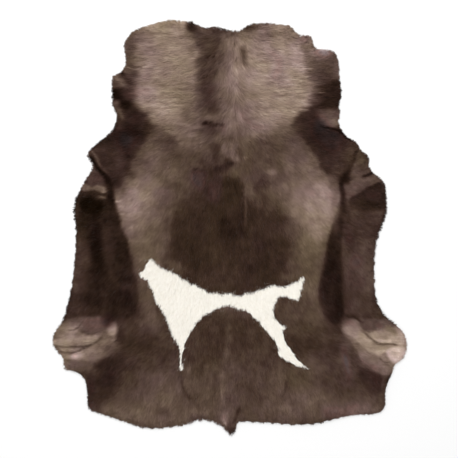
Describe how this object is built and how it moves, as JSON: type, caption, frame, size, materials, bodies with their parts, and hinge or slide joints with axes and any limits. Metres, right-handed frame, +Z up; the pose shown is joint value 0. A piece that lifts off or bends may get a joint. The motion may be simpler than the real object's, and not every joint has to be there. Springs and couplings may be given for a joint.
{
  "type": "reindeer hide",
  "caption": "Dressed reindeer hide lying flat with its coat up: brown coat with a white marking, puckered leg stubs, locks of hair at the rim and a short tail.",
  "frame": {"origin": "on the surface the hide lies on, in the middle of its box", "axes": "+Z up out of the coat, +Y to the neck, +X to the animal's right side"},
  "size_m": [1.0245, 1.2028, 0.0249],
  "materials": {
    "coat": "short dense lying hair, dull, brown with pale flanks and a white marking",
    "skin": "undyed suede, matt"
  },
  "bodies": {
    "root": {"pelt": "coat"}
  },
  "joints": []
}
